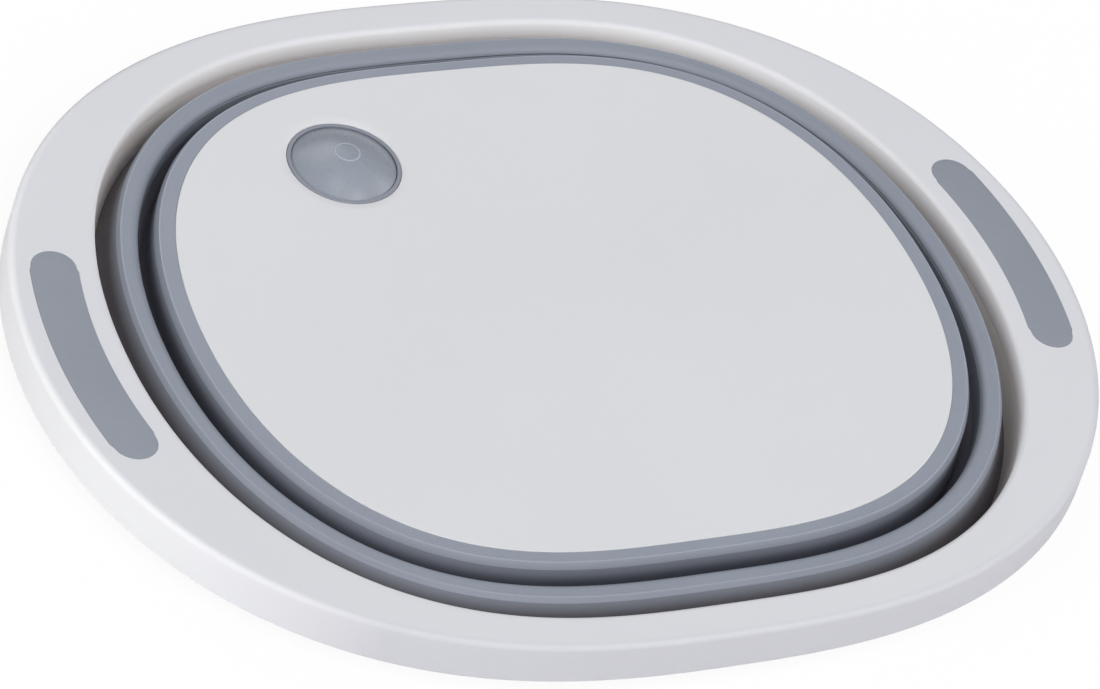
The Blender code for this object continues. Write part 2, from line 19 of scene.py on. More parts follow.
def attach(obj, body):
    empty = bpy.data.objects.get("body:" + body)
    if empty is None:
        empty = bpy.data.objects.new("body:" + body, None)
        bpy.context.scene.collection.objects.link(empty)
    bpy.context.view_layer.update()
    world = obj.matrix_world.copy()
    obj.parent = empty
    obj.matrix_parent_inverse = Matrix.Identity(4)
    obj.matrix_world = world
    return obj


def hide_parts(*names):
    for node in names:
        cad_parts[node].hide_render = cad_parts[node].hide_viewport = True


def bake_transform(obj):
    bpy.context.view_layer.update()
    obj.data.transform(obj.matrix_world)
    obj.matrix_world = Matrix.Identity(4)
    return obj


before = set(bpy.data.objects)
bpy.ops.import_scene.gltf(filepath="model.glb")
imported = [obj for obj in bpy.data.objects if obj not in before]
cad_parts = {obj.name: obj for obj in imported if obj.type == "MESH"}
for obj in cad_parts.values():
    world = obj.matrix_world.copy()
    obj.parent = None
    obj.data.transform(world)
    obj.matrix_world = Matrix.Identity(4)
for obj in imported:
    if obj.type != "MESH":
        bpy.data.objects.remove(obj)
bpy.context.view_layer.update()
print("nodes:", sorted(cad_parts))

# %% [markdown]
# ## Sizes
# Every length is in metres and every height counts from the table. Most of them come from the
# engineering model. They could be read off its boxes, but a drawing's numbers with plain names
# are easier to follow. A few places in the grooves and the width of the grips were measured
# again in the photograph, and differ from the engineering model by up to 2 mm.

# %% Sizes of the folded basin
BOARD_HALF = (0.1313, 0.1130)
FOLD_HALF = (0.1327, 0.1130)
BOARD_POWERS = (3.14, 2.09)
RIM_HALF = (0.1900, 0.1526)
RIM_POWERS = (2.61, 2.00)

BORDER_EDGE = 0.0044
BORDER_OUTER = 0.0055
BAND_FOOT = 0.0074
BAND_EDGE = 0.0167
BAND_OUTER = 0.0177
RIM_INNER = 0.0249
WALL_INNER = 0.0252
WALL_THICK = 0.0020

SKIRT_FOOT = 0.0050
RIM_TOP = 0.0200
DECK_UNDERSIDE = 0.0170
BAND_TOP = 0.0193
BAND_UNDERSIDE = 0.0175
BOARD_TOP = 0.0225
BOARD_UNDERSIDE = 0.0188
BORDER_TOP = 0.0222
BORDER_FOOT = 0.0198
WALL_FOOT = 0.0038
VALLEY = 0.0026

print("rim", [2000 * h for h in RIM_HALF], "mm; board", [2000 * h for h in BOARD_HALF], "mm")

# %% [markdown]
# ## The three outlines
# Seen from above, every ring of the basin follows one of three lines: the board's edge, the line
# of the folds, or the rim's edge. All are full ovals. An ellipse would be too pointed at its
# corners and a rounded rectangle too straight at its sides, so each is a superellipse with two
# powers: the first sets how blunt the ends are and the second how flat the long sides are.
# The line of the folds is the board's edge with ends 1.4 mm farther out.
#
# A ring that runs beside the line at a constant distance needs the line's normals as well, so
# the function gives points and normals together, as whole arrays.

# %% Points and normals of an oval
RING_STEPS = 480


def even_bearings(count):
    """Bearings in equal steps round a full turn. The turn's end is left out: it is the start."""
    return np.linspace(0, 2 * np.pi, count, endpoint=False)


def rays(bearing):
    """Arrows of length one towards some bearings: x is the cosine and y the sine."""
    return np.stack([np.cos(bearing), np.sin(bearing)], axis=-1)


def oval(half, powers):
    """Points and outward normals of |x / a|^p + |y / b|^q = 1 at even bearings.

    The reach at a bearing has no formula when the powers differ, so it is found by halving a
    span 40 times and keeping the part in which the left side passes 1. The normal is the slope
    of the left side, p sign(x) |x / a|^(p - 1) / a and the same in y, made one long.
    """
    ray = rays(even_bearings(RING_STEPS))
    half = np.array(half)
    powers = np.array(powers)
    near = np.zeros((RING_STEPS, 1))
    far = np.full((RING_STEPS, 1), 2 * half.max())
    for _ in range(40):
        middle = (near + far) / 2
        inside = (np.abs(ray * middle / half) ** powers).sum(axis=1, keepdims=True) < 1
        near = np.where(inside, middle, near)
        far = np.where(inside, far, middle)
    points = ray * near
    slope = powers * np.sign(points) * np.abs(points / half) ** (powers - 1) / half
    return points, slope / np.linalg.norm(slope, axis=1, keepdims=True)


BOARD_LINE, BOARD_NORMAL = oval(BOARD_HALF, BOARD_POWERS)
FOLD_LINE, FOLD_NORMAL = oval(FOLD_HALF, BOARD_POWERS)
RIM_LINE, RIM_NORMAL = oval(RIM_HALF, RIM_POWERS)
for title, line in (("board", BOARD_LINE), ("fold", FOLD_LINE), ("rim", RIM_LINE)):
    print(title, "line reaches", round(1000 * np.hypot(*line[60]), 1), "mm at 45 degrees")

# %% [markdown]
# ## Sections with soft corners
# Moulded plastic and rubber have no sharp corners, and the thin bright lines along the edges in
# the photograph are light caught by small roundings. A bevel modifier could round everything,
# but here each corner of a section needs its own radius. So the section is drawn as a few
# corners, and each one is swapped for a short curve. A corner is a pair: how far out from the
# line, and how far up from the table.
#
# Two more points just outside every curve keep the flats beside it flat, because smooth
# shading blends over the whole of the face next to a curve.

# %% Round the corners of a section
ARC_HANDLE = 0.5523
BESIDE = 1.2


def soften(corners, radii, closed=True, steps=5):
    """Swap each corner for a curve that starts and ends one radius away from it.

    With A and B on the two sides and C the corner, the curve is the cubic
    (1-s)^3 A + 3 (1-s)^2 s P + 3 (1-s) s^2 Q + s^3 B, where P and Q lie 0.5523 of the way
    from A and from B to C, which makes a right angle into a quarter of a circle.
    """
    corners = np.array(corners, float)
    radii = np.array(radii, float)[:, None]
    if closed:
        before, here, after = np.roll(corners, 1, axis=0), corners, np.roll(corners, -1, axis=0)
    else:
        before, here, after = corners[:-2], corners[1:-1], corners[2:]
    back = (before - here) / np.linalg.norm(before - here, axis=1, keepdims=True)
    on = (after - here) / np.linalg.norm(after - here, axis=1, keepdims=True)
    a = here + back * radii
    b = here + on * radii
    p = a + ARC_HANDLE * (here - a)
    q = b + ARC_HANDLE * (here - b)
    s = np.linspace(0, 1, steps + 1)[:, None, None]
    curve = (1 - s) ** 3 * a + 3 * (1 - s) ** 2 * s * p + 3 * (1 - s) * s**2 * q + s**3 * b
    before_curve, after_curve = here + back * radii * BESIDE, here + on * radii * BESIDE
    rows = np.concatenate([before_curve[None], curve, after_curve[None]])
    rows = rows.transpose(1, 0, 2).reshape(-1, 2)
    if closed:
        return rows
    return np.concatenate([corners[:1], rows, corners[-1:]])


print("a softened square has", len(soften([(0, 0), (1, 0), (1, 1), (0, 1)], [0.1] * 4)), "points")

# %% [markdown]
# ## From a grid of points to a piece
# Every new piece is a grid: rows follow the section, columns follow the outline. Its quads join
# neighbours, and both directions close on themselves. Rows that shrink to a point or fold onto
# each other are merged, which closes poles and seams, and the normals are then turned outwards.

# %% Make a closed mesh from a grid
SHARP = math.radians(38)
DOUBLE = 2e-6
NO_LENGTH = 1e-7
BOARD_REACH = 0.0015


def show(mesh, name):
    """Give a mesh smooth shading with sharp creases, and an object at the origin."""
    mesh.name = name
    mesh.shade_smooth()
    mesh.set_sharp_from_angle(angle=SHARP)
    piece = bpy.data.objects.new(name, mesh)
    bpy.context.scene.collection.objects.link(piece)
    return piece


def cleaned(mesh, merge=False, fill=False):
    """Merge doubles and fill open ends if asked, and turn every normal outwards."""
    work = bmesh.new()
    work.from_mesh(mesh)
    if merge:
        bmesh.ops.remove_doubles(work, verts=work.verts, dist=DOUBLE)
        bmesh.ops.dissolve_degenerate(work, edges=work.edges, dist=NO_LENGTH)
    if fill:
        bmesh.ops.holes_fill(work, edges=[e for e in work.edges if e.is_boundary], sides=0)
    bmesh.ops.recalc_face_normals(work, faces=work.faces)
    work.to_mesh(mesh)
    work.free()
    return mesh


def grid_mesh(points, closed=True):
    """Join a rows x columns x 3 array by quads; columns always wrap, rows if closed."""
    rows, columns = points.shape[:2]
    index = np.arange(rows * columns).reshape(rows, columns)
    if closed:
        index = np.vstack([index, index[:1]])
    index = np.hstack([index, index[:, :1]])
    quads = np.stack([index[:-1, :-1], index[:-1, 1:], index[1:, 1:], index[1:, :-1]], axis=-1)
    mesh = bpy.data.meshes.new("grid")
    mesh.from_pydata(points.reshape(-1, 3).tolist(), [], quads.reshape(-1, 4).tolist())
    return cleaned(mesh, merge=True)


def lifted(plan, up):
    """Add heights to rows x columns of plan points: one for all, or one for each row."""
    return np.concatenate([plan, np.broadcast_to(up, plan.shape[:2] + (1,))], axis=2)


def around(line, normal, section):
    """Carry a section round a line: plan = line + out * normal, height = up."""
    out, up = np.array(section, float).T[:, :, None, None]
    return lifted(line[None] + out * normal[None], up)


def around_both(section):
    """Rows up to 1.5 mm out follow the board's edge, and those farther out the fold line."""
    by_board = around(BOARD_LINE, BOARD_NORMAL, section)
    by_fold = around(FOLD_LINE, FOLD_NORMAL, section)
    beyond = np.array(section, float)[:, 0] > BOARD_REACH
    return np.where(beyond[:, None, None], by_fold, by_board)


def ring_piece(name, corners, radii):
    """A closed ring with a softened section."""
    piece = show(grid_mesh(around_both(soften(corners, radii))), name)
    print(name, len(piece.data.polygons), "faces")
    return piece


print("creases stay sharp above", round(math.degrees(SHARP)), "degrees")

# %% [markdown]
# Turned parts such as the plug, the feet and the studs are the same idea with a circle as the
# line. Their profile starts and ends on the axis, where the rows shrink to one point.

# %% Turn a profile round an upright axis


def turned_mesh(profile, middle, columns, closed=False):
    """Turn (radius, height) pairs round the axis at middle: plan = middle + radius * ray."""
    ray = rays(even_bearings(columns))
    return grid_mesh(around(np.broadcast_to(middle, ray.shape), ray, profile), closed)


def merge_meshes(meshes):
    """Put several closed meshes into one."""
    work = bmesh.new()
    for mesh in meshes:
        work.from_mesh(mesh)
        bpy.data.meshes.remove(mesh)
    merged = bpy.data.meshes.new("merged")
    work.to_mesh(merged)
    work.free()
    return merged


def carve(mesh, tool):
    """Cut one closed mesh from another and return what is left."""
    body = bpy.data.objects.new("body_of_carving", mesh)
    cutter = bpy.data.objects.new("tool_of_carving", tool)
    bpy.context.scene.collection.objects.link(body)
    bpy.context.scene.collection.objects.link(cutter)
    step = body.modifiers.new("carve", "BOOLEAN")
    step.operation = "DIFFERENCE"
    step.solver = "EXACT"
    step.object = cutter
    graph = bpy.context.evaluated_depsgraph_get()
    carved = bpy.data.meshes.new_from_object(body.evaluated_get(graph))
    bpy.data.objects.remove(body, do_unlink=True)
    bpy.data.objects.remove(cutter, do_unlink=True)
    bpy.data.meshes.remove(mesh)
    bpy.data.meshes.remove(tool)
    return carved


print("a circle's first arrows out of 8:", rays(even_bearings(8))[:2].round(3).tolist())

# %% [markdown]
# ## The grips' outline
# Each end of the deck carries a soft pad shaped like a bent bar with round ends. Its outline is
# made of four arcs: a long outer one, a cap, a long inner one and another cap. At an offset of
# minus half its width the two long arcs fall on one line, the spine, which is how the top of
# the pad is closed without a single long-sided face. The round ends are a little narrower than
# the bar between them, so each long side ends in a slight step, as on the real pads.

# %% Outline of a grip at any offset
GRIP_LENGTH = 0.096
GRIP_WIDTH = 0.0163
GRIP_BEND = 0.182
GRIP_X = 0.17335
BEND_MIDDLE = (GRIP_X - GRIP_BEND, 0)
GRIP_TAPER = 0.93
GRIP_STEP = 0.0018
GRIP_SWEEP = (GRIP_LENGTH / 2 - GRIP_TAPER * GRIP_WIDTH / 2) / GRIP_BEND


def grip_line(offset, side):
    """Plan of the bent bar moved out by offset. side is 1 at the +X end and -1 at the other.

    With w half the width plus offset, the long arcs have radii bend + w and bend - w. Each cap
    is half a circle of radius taper times w about the end of the spine. The arcs stop short of
    the cap by a step that shrinks with w, and a straight line leads from one to the other.
    """
    w = GRIP_WIDTH / 2 + offset
    limit = GRIP_SWEEP - GRIP_STEP * w / (GRIP_WIDTH / 2) / GRIP_BEND
    arc = rays(np.linspace(-limit, limit, 61))
    outer = (GRIP_BEND + w) * arc + BEND_MIDDLE
    inner = (GRIP_BEND - w) * arc[::-1] + BEND_MIDDLE
    end = GRIP_BEND * rays(GRIP_SWEEP) + BEND_MIDDLE
    upper = end + GRIP_TAPER * w * rays(np.linspace(0, np.pi, 31) + GRIP_SWEEP)
    lower = upper[::-1] * (1, -1)
    return np.concatenate([outer, upper, inner, lower]) * (side, 1)


def grip_rows(section, side):
    """Rows of (offset, height) round a grip."""
    out, up = np.array(section, float).T
    return lifted(np.stack([grip_line(offset, side) for offset in out]), up[:, None, None])


print("grip line points:", len(grip_line(0, 1)))

# %% [markdown]
# ## The rim
# The rim is one hard white moulding: a skirt, a flat deck, and a wall on the inside that the
# soft ring hangs from. Its skirt follows the rim's oval but its wall follows the fold line, so the
# grid takes half of its rows from one line and half from the other. The deck is what lies
# between them, and each half ends on its flat. A solid block with modifiers would not give the
# wide ends and narrow sides.

# %% Rim: two half sections on two outlines
SKIRT_THICK = 0.0022
SKIRT_SLANT = 0.0006
skirt_half = soften(
    [(-0.0048, DECK_UNDERSIDE), (-SKIRT_THICK - SKIRT_SLANT, DECK_UNDERSIDE), (-SKIRT_THICK, SKIRT_FOOT),
     (0, SKIRT_FOOT), (-SKIRT_SLANT, RIM_TOP), (-0.0046, RIM_TOP)],
    [0.0008, 0.0006, 0.0005, 0.0017], closed=False, steps=7)
wall_half = soften(
    [(RIM_INNER + 0.0045, RIM_TOP), (RIM_INNER, RIM_TOP), (WALL_INNER, WALL_FOOT),
     (WALL_INNER + WALL_THICK, WALL_FOOT), (WALL_INNER + WALL_THICK, DECK_UNDERSIDE),
     (WALL_INNER + 0.0035, DECK_UNDERSIDE)],
    [0.0019, 0.0004, 0.0004, 0.0008], closed=False, steps=7)
rim_rows = np.concatenate([around(RIM_LINE, RIM_NORMAL, skirt_half),
                           around(FOLD_LINE, FOLD_NORMAL, wall_half)])
rim_mesh = grid_mesh(rim_rows)
print("rim grid", rim_rows.shape)

# %% [markdown]
# Under the deck stand thin cross ribs, except where the fingers go. A rib is a box between the
# wall and the skirt. Its ends run into both and its top into the deck, so that no gap is left.
# The ribs only show from below.

# %% Rim: cross ribs
RIB_BEARINGS = np.linspace(math.radians(20), math.radians(160), 11)
RIB_HALF = 0.0008
RIB_DEPTH = 0.0080
RIB_SINK = 0.0011
RIB_END = 0.0015


def reach_at(line, bearing):
    """How far a closed line is from the middle at some bearings."""
    own = np.unwrap(np.arctan2(line[:, 1], line[:, 0]))
    reach = np.hypot(line[:, 0], line[:, 1])
    wrapped = (bearing - own[0]) % (2 * np.pi) + own[0]
    return np.interp(wrapped, np.append(own, own[0] + 2 * np.pi), np.append(reach, reach[0]))


def boxes_mesh(corners):
    """One mesh of many boxes, given as boxes x 8 corners x 3."""
    six = np.array([(0, 2, 3, 1), (4, 5, 7, 6), (0, 1, 5, 4), (2, 6, 7, 3), (0, 4, 6, 2), (1, 3, 7, 5)])
    faces = (np.arange(len(corners))[:, None, None] * 8 + six[None]).reshape(-1, 4)
    mesh = bpy.data.meshes.new("boxes")
    mesh.from_pydata(corners.reshape(-1, 3).tolist(), [], faces.tolist())
    return cleaned(mesh)


def rim_ribs():
    """Boxes along rays at even bearings, from the wall's middle to the skirt's middle."""
    bearing = np.concatenate([RIB_BEARINGS, -RIB_BEARINGS])
    near = reach_at(FOLD_LINE + (WALL_INNER + WALL_THICK / 2) * FOLD_NORMAL, bearing)[:, None]
    far = reach_at(RIM_LINE - RIB_END * RIM_NORMAL, bearing)[:, None]
    along = rays(bearing)
    aside = rays(bearing + np.pi / 2) * RIB_HALF
    plan = np.stack([near * along - aside, far * along - aside,
                     near * along + aside, far * along + aside], axis=1)
    low = lifted(plan, DECK_UNDERSIDE - RIB_DEPTH)
    high = lifted(plan, DECK_UNDERSIDE + RIB_SINK)
    return boxes_mesh(np.concatenate([low, high], axis=1))


ribs = rim_ribs()
print("rim ribs:", len(ribs.polygons) // 6)

# %% [markdown]
# The pads sit in shallow pockets. The pocket is cut with the pad's own outline, and its tool
# widens at the very top, which leaves a small chamfer on the white edge. Three holes in each
# pocket's floor take the studs under the pad.

# %% Rim: pockets and stud holes
POCKET_FLOOR = RIM_TOP - 0.0018
CHAMFER = 0.0001
STUD_RADIUS = 0.0020
STUD_STEP = 0.0300
STUD_PLAY = 0.0003
HOLE_HEIGHTS = (0.0120, 0.0195)


def stud_places(side):
    """Three places 30 mm apart along the grip's bend."""
    angle = np.array([-1, 0, 1]) * STUD_STEP / GRIP_BEND
    return (GRIP_BEND * rays(angle) + BEND_MIDDLE) * (side, 1)


def capped(rows):
    """Close a stack of loops with a face at its first and its last loop."""
    return cleaned(grid_mesh(rows, closed=False), fill=True)


def column(middle, radius, low, high):
    """A plain round column with flat ends."""
    return turned_mesh([(0, low), (radius, low), (radius, high), (0, high)], middle, 40)


for side in (-1, 1):
    pocket = capped(grip_rows([(1.5 * CHAMFER, RIM_TOP + 0.0020), (CHAMFER, RIM_TOP),
                               (0, RIM_TOP - CHAMFER), (0, POCKET_FLOOR)], side))
    rim_mesh = carve(rim_mesh, pocket)
    holes = merge_meshes([column(place, STUD_RADIUS + STUD_PLAY, *HOLE_HEIGHTS)
                          for place in stud_places(side)])
    rim_mesh = carve(rim_mesh, holes)
rim = show(merge_meshes([rim_mesh, ribs]), "rim_white_frame")
print("rim faces:", len(rim.data.polygons))

# %% [markdown]
# ## The grips
# A pad is soft and sits flush, with a trace of a crown so that light slides over it. Its rows
# start at the bottom of the pocket, climb the side, round the edge and close on the spine.

# %% Grips: pads with studs
GRIP_CROWN = 0.00022
GRIP_GAP = 0.00004
PAD_FOOT = POCKET_FLOOR + 0.0003
STUD_ROOT = POCKET_FLOOR + 0.0006


def grip_pad(side):
    """Rows up the side and over the crown: height = top + crown (1 - (d / w)^2), d from the spine."""
    half = GRIP_WIDTH / 2
    base = [(-out, PAD_FOOT) for out in (half, 0.0080, 0.0040)]
    edge = soften([(-0.0020, PAD_FOOT), (-GRIP_GAP, PAD_FOOT), (-GRIP_GAP, RIM_TOP), (-0.0008, RIM_TOP)],
                  [0.0002, 0.00015], closed=False)
    across = np.array([0.0012, 0.0020, 0.0034, 0.0052, 0.0070, half])
    crown = RIM_TOP + GRIP_CROWN * (1 - (1 - across / half) ** 2)
    section = np.concatenate([base, edge, np.stack([-across, crown], axis=1)])
    pad = grid_mesh(grip_rows(section, side), closed=False)
    studs = [column(place, STUD_RADIUS, DECK_UNDERSIDE, STUD_ROOT) for place in stud_places(side)]
    return merge_meshes([pad] + studs)


grip_left = show(grip_pad(-1), "grip_pad_left")
grip_right = show(grip_pad(1), "grip_pad_right")
print("grip faces:", len(grip_left.data.polygons))

# %% [markdown]
# ## The soft wall
# The wall is one rubber moulding on the real basin. It is modelled as five rings that meet
# without a step: a bead on the rim's wall, the upper web, the middle band, the lower web and
# the border round the board. Being separate, each can follow its own part when the basin opens.
#
# The bead is a wedge that clips over the foot of the rim's wall. The wall's inner face carries
# on down its slant, as far as the valley where the upper web begins.

# %% Bead under the rim's wall
BEAD_THICK = 0.0009
BEAD_TOP = 0.0062
WEDGE_TOP = 0.0102
VALLEY_OUT = 0.0229
slot_in = WALL_INNER - 0.0001
slot_out = WALL_INNER + WALL_THICK + 0.0003
slot_floor = WALL_FOOT - 0.0003
bead = ring_piece(
    "wall_bead",
    [(VALLEY_OUT, VALLEY), (slot_out + BEAD_THICK, VALLEY), (slot_out + BEAD_THICK, BEAD_TOP),
     (slot_out, BEAD_TOP), (slot_out, slot_floor), (slot_in, slot_floor), (slot_in, WEDGE_TOP),
     (slot_in - 0.00005, WEDGE_TOP)],
    [0.00002, 0.0005, 0.0004, 0.0002, 0.0002, 0.0002, 0.00002, 0.00002])

# %% [markdown]
# A web is a thin sheet that leans inwards as it climbs. It arrives upright under the ridge above
# it and leans most at its foot. A power of the height does that: the higher the power, the
# longer the upper part stays upright, and the sooner it is lost in shadow.

# %% Webs
WEB_THICKNESS = 0.0017
WEB_STEPS = 26
SEAM = 0.00003
UPPER_POWER = 1.45
LOWER_POWER = 1.5


def web_rows(foot, head, high, power):
    """Rows of a sheet: out = head + (foot - head) (1 - s)^power, up = valley + (high - valley) s."""
    s = np.linspace(0, 1, WEB_STEPS + 1)
    out = head + (foot - head) * (1 - s) ** power
    up = VALLEY + (high - VALLEY) * s
    outer = np.stack([out, up], axis=1)
    inner = np.stack([out - WEB_THICKNESS, up], axis=1)[::-1]
    return around(FOLD_LINE, FOLD_NORMAL, np.concatenate([outer, inner]))


upper_rows = web_rows(VALLEY_OUT + SEAM, BAND_OUTER - SEAM, BAND_UNDERSIDE - SEAM, UPPER_POWER)
lower_rows = web_rows(BAND_FOOT + SEAM, BORDER_OUTER - SEAM, BORDER_FOOT - SEAM, LOWER_POWER)
upper_web = show(grid_mesh(upper_rows), "wall_upper_web")
lower_web = show(grid_mesh(lower_rows), "wall_lower_web")
print("web faces:", len(upper_web.data.polygons), len(lower_web.data.polygons))

# %% [markdown]
# The middle band is the ridge between the two grooves. Along its outer edge runs a fine raised
# crest that is bright in the photograph, and the border has the same. The band's inner side has
# a wide round shoulder, a fine undercut line below it, and a ledge lower down whose edge
# catches the light. The slanting outer sides of band and border lead over into the webs.

# %% Middle band and border
CREST = 0.00012
CREST_START = 0.0007
CREST_PEAK = 0.0001
BAND_LEDGE = [(0.0101, 0.0100), (0.0096, 0.0104)]
BAND_UNDERCUT = [(0.0103, 0.0169), (0.0109, 0.0171), (0.0104, 0.0174)]
BAND_SHOULDER = 0.0114
BAND_BACK = [(0.0134, BAND_UNDERSIDE), (0.0097, VALLEY)]


def crest_corners(edge, top):
    """Two corners of the fine raised crest along an outer edge."""
    return [(edge - CREST_START, top), (edge - CREST_PEAK, top + CREST)]


band = ring_piece(
    "wall_middle_band",
    [(BAND_FOOT, VALLEY), *BAND_LEDGE, *BAND_UNDERCUT, (BAND_SHOULDER, BAND_TOP),
     *crest_corners(BAND_EDGE, BAND_TOP), (BAND_OUTER, BAND_UNDERSIDE), *BAND_BACK],
    [0.00002, 0.0002, 0.0003, 0.00015, 0.0001, 0.0002, 0.0017, 0.0002, 0.0003, 0.00008, 0.0006, 0.0004])
border = ring_piece(
    "board_soft_border",
    [(SEAM, BORDER_FOOT), (SEAM, BORDER_TOP), *crest_corners(BORDER_EDGE, BORDER_TOP),
     (BORDER_OUTER, BORDER_FOOT)],
    [0.0002, 0.00015, 0.0002, 0.0003, 0.00008])

# %% [markdown]
# ## The board
# The board is a flat plate with a flange for the soft border, a wall below, and a drain. Cutting
# the drain with a Boolean would leave long thin triangles over the flat top, and smooth shading
# shows them. So the plate is a grid between two lines: its own edge and the drain's circle.
# Each column runs from a point of the edge straight towards the drain's middle.

# %% Board: a plate between its edge and the drain
DRAIN = np.array([-0.0536, 0.0726])
DRAIN_RADIUS = 0.0199
DRAIN_DISH = 0.0024
FLANGE = 0.0031
FLANGE_TOP = 0.0195
FLANGE_FOOT = 0.0177
BOARD_WALL = 0.0022
BOARD_SLANT = 0.0010
BOARD_FOOT = 0.0030
LEDGE = BOARD_TOP - 0.0043
THROAT = 0.0150
PIPE = 0.0175
PIPE_FOOT = LEDGE - 0.0100
BOWL = 0.0230
BOWL_FOOT = LEDGE - 0.0025

towards = BOARD_LINE - DRAIN
towards = towards / np.linalg.norm(towards, axis=1, keepdims=True)
drain_line = np.broadcast_to(DRAIN, BOARD_LINE.shape)

edge_half = soften(
    [(-0.0040, BOARD_TOP), (0, BOARD_TOP), (0, FLANGE_TOP), (FLANGE, FLANGE_TOP), (FLANGE, FLANGE_FOOT),
     (0, FLANGE_FOOT), (-BOARD_SLANT, BOARD_FOOT), (-BOARD_SLANT - BOARD_WALL, BOARD_FOOT),
     (-BOARD_WALL, BOARD_UNDERSIDE), (-0.0050, BOARD_UNDERSIDE)],
    [0.0003, 0.0002, 0.0003, 0.0003, 0.0006, 0.0005, 0.0005, 0.0008], closed=False)
drain_half = soften(
    [(BOWL + 0.0020, BOARD_UNDERSIDE), (BOWL, BOARD_UNDERSIDE), (BOWL, BOWL_FOOT), (PIPE, BOWL_FOOT),
     (PIPE, PIPE_FOOT), (THROAT, PIPE_FOOT), (THROAT, LEDGE), (DRAIN_RADIUS, LEDGE),
     (DRAIN_RADIUS, BOARD_TOP - 0.0005), (DRAIN_RADIUS + DRAIN_DISH, BOARD_TOP),
     (DRAIN_RADIUS + 0.0060, BOARD_TOP)],
    [0.0008, 0.0006, 0.0008, 0.0004, 0.0004, 0.0003, 0.0004, 0.0003, 0.0013], closed=False, steps=7)
board_rows = np.concatenate([around_both(edge_half),
                             around(drain_line, towards, drain_half)])
board_mesh = grid_mesh(board_rows)
print("board grid", board_rows.shape)

# %% [markdown]
# Below the plate run five ribs each way. They stop at the drain, so they are cut by a stepped
# tool that is a little larger than its bore. Four bosses hold the feet's pegs.

# %% Board: ribs and bosses
BOARD_RIB_STEP = 0.036
BOARD_RIB_HALF = 0.0009
BOARD_RIB_DEPTH = 0.0060
BORE_TOOL = [(0, 0.0050), (0.0162, 0.0050), (0.0162, 0.0163), (0.0214, 0.0163), (0.0214, 0.0250),
             (0, 0.0250)]
FOOT_PLACES = [(x, y) for x in (-0.096, 0.096) for y in (-0.062, 0.062)]
PEG_RADIUS = 0.0030
PEG_TOP = 0.0102
BOSS_RADIUS = 0.0078
BOSS_FOOT = 0.0040
BOSS_TOP = 0.0199


def board_ribs():
    """Boxes at even steps across the board, each as long as the oval is there."""
    step = np.arange(-2, 3) * BOARD_RIB_STEP
    half = np.array(BOARD_HALF) - BOARD_WALL / 2
    long_power, wide_power = BOARD_POWERS
    along_x = half[0] * (1 - (np.abs(step) / half[1]) ** wide_power) ** (1 / long_power)
    along_y = half[1] * (1 - (np.abs(step) / half[0]) ** long_power) ** (1 / wide_power)
    none, thin = np.zeros(5), np.full(5, BOARD_RIB_HALF)
    middle = np.concatenate([np.stack([none, step], 1), np.stack([step, none], 1)])
    reach = np.concatenate([np.stack([along_x, thin], 1), np.stack([thin, along_y], 1)])
    plan = np.stack([middle + reach * signs for signs in ((-1, -1), (1, -1), (-1, 1), (1, 1))], axis=1)
    boxes = np.concatenate([lifted(plan, BOARD_UNDERSIDE - BOARD_RIB_DEPTH),
                            lifted(plan, BOARD_UNDERSIDE + RIB_SINK)], axis=1)
    return boxes_mesh(boxes[:5]), boxes_mesh(boxes[5:])


def boss(middle):
    """A post under the plate with a blind hole for a foot's peg."""
    hole, depth = PEG_RADIUS + 0.0003, PEG_TOP + 0.0006
    profile = soften([(0, depth), (hole, depth), (hole, BOSS_FOOT), (BOSS_RADIUS, BOSS_FOOT),
                      (BOSS_RADIUS, BOSS_TOP), (0, BOSS_TOP)],
                     [0.0003, 0.0003, 0.0006, 0.0004], closed=False)
    return turned_mesh(profile, middle, 64)


ribs_x, ribs_y = [carve(mesh, turned_mesh(BORE_TOOL, DRAIN, 128)) for mesh in board_ribs()]
bosses = [boss(place) for place in FOOT_PLACES]
board = show(merge_meshes([board_mesh, ribs_x, ribs_y] + bosses), "cutting_board_plate")
print("board faces:", len(board.data.polygons))

# %% [markdown]
# ## The plug
# The plug is a shallow soft dome in a seal that is a cup, held by a stem through the drain. The
# cup's rim lies level with the board and shows as a thin ring, and the dome's edge sinks a
# little below it. A fine raised circle on the dome marks the spot to press. The dome is a
# parabola turned round, and nowhere as steep as the camera's view, or it would hide the ring
# behind it.

# %% Plug: dome, seal and stem
SEAL_LOW = LEDGE + 0.0003
SEAL_FLOOR = SEAL_LOW + 0.0014
SEAL_TOP = BOARD_TOP - 0.0003
SEAL_RADIUS = DRAIN_RADIUS - 0.00012
CAP_LOW = SEAL_FLOOR + 0.0001
CAP_EDGE = SEAL_TOP - 0.0008
CAP_RADIUS = 0.0183
CAP_TOP = BOARD_TOP + 0.0051
CUP_RADIUS = CAP_RADIUS + 0.0001
MARK_RADIUS = 0.0043
MARK_WIDTH = 0.00018
MARK_HEIGHT = 0.00014
STEM_RADIUS = 0.0029
STEM_TOP = CAP_LOW + 0.0023
STEM_HOLE = 0.0032
STEM_HOLE_TOP = CAP_LOW + 0.0026
COLLAR_RADIUS = 0.0145
COLLAR_TOP = SEAL_LOW - 0.0003
COLLAR_FOOT = COLLAR_TOP - 0.0045


def dome_profile():
    """Radius r = R sin t, height = edge + rise (1 - (r / R)^2), plus a bump at the mark."""
    t = np.unique(np.concatenate([np.linspace(0, 0.2, 8), np.linspace(0.2, 0.3, 30),
                                  np.linspace(0.3, math.pi / 2, 40)]))
    radius = CAP_RADIUS * np.sin(t)
    height = CAP_EDGE + (CAP_TOP - CAP_EDGE) * np.cos(t) ** 2
    bump = MARK_HEIGHT * np.exp(-((radius - MARK_RADIUS) / MARK_WIDTH) ** 2)
    return np.stack([radius, height + bump], axis=1)


